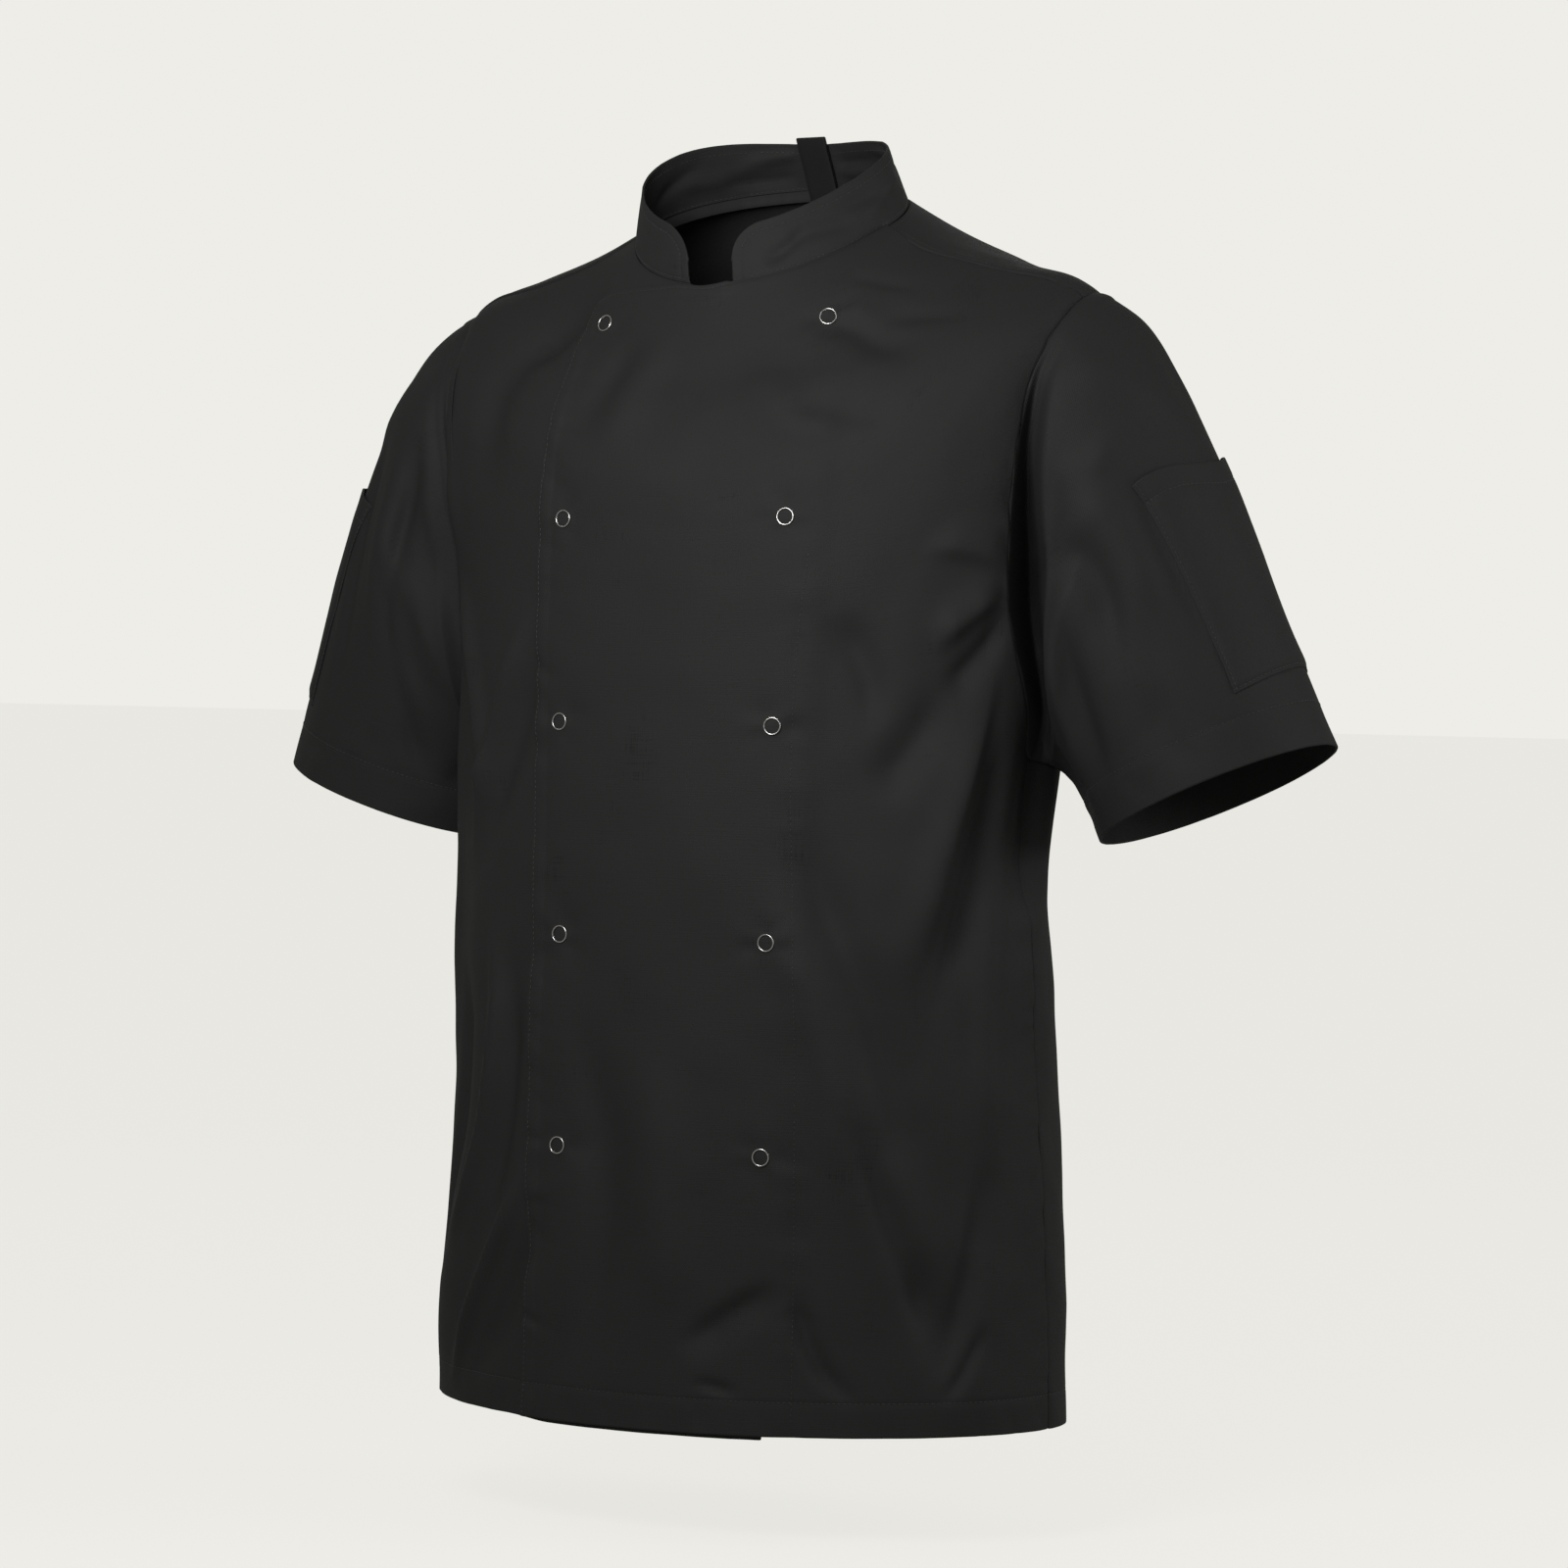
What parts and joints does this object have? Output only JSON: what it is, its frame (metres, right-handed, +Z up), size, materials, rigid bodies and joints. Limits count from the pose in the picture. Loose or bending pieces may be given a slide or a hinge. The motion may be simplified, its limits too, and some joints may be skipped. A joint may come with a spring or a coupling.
{
  "type": "chef jacket",
  "caption": "Short-sleeved double-breasted chef jacket in its hollow worn shape, with a stand collar, snap fronts, sleeve pockets and a hang loop.",
  "frame": {"origin": "midway between the two neck points, where the shoulders meet the collar seam, which is where a wearer's shoulders carry the jacket", "axes": "+Z up, the front faces -Y, and the wearer's left is +X"},
  "size_m": [0.7205, 0.2692, 0.7904],
  "materials": {
    "twill": "plain black polyester-cotton twill, matt",
    "tape": "black twill tape, matt",
    "ring": "bright pressed steel ring"
  },
  "bodies": {
    "root": {"front_left": "twill", "front_right": "twill", "back": "twill", "sleeve_left": "twill", "sleeve_right": "twill", "collar": "twill", "pocket_left": "twill", "pocket_right": "twill", "hang_loop": "tape", "snap_1_right": "ring", "snap_1_left": "ring", "snap_2_right": "ring", "snap_2_left": "ring", "snap_3_right": "ring", "snap_3_left": "ring", "snap_4_right": "ring", "snap_4_left": "ring", "snap_5_right": "ring", "snap_5_left": "ring"}
  },
  "joints": []
}
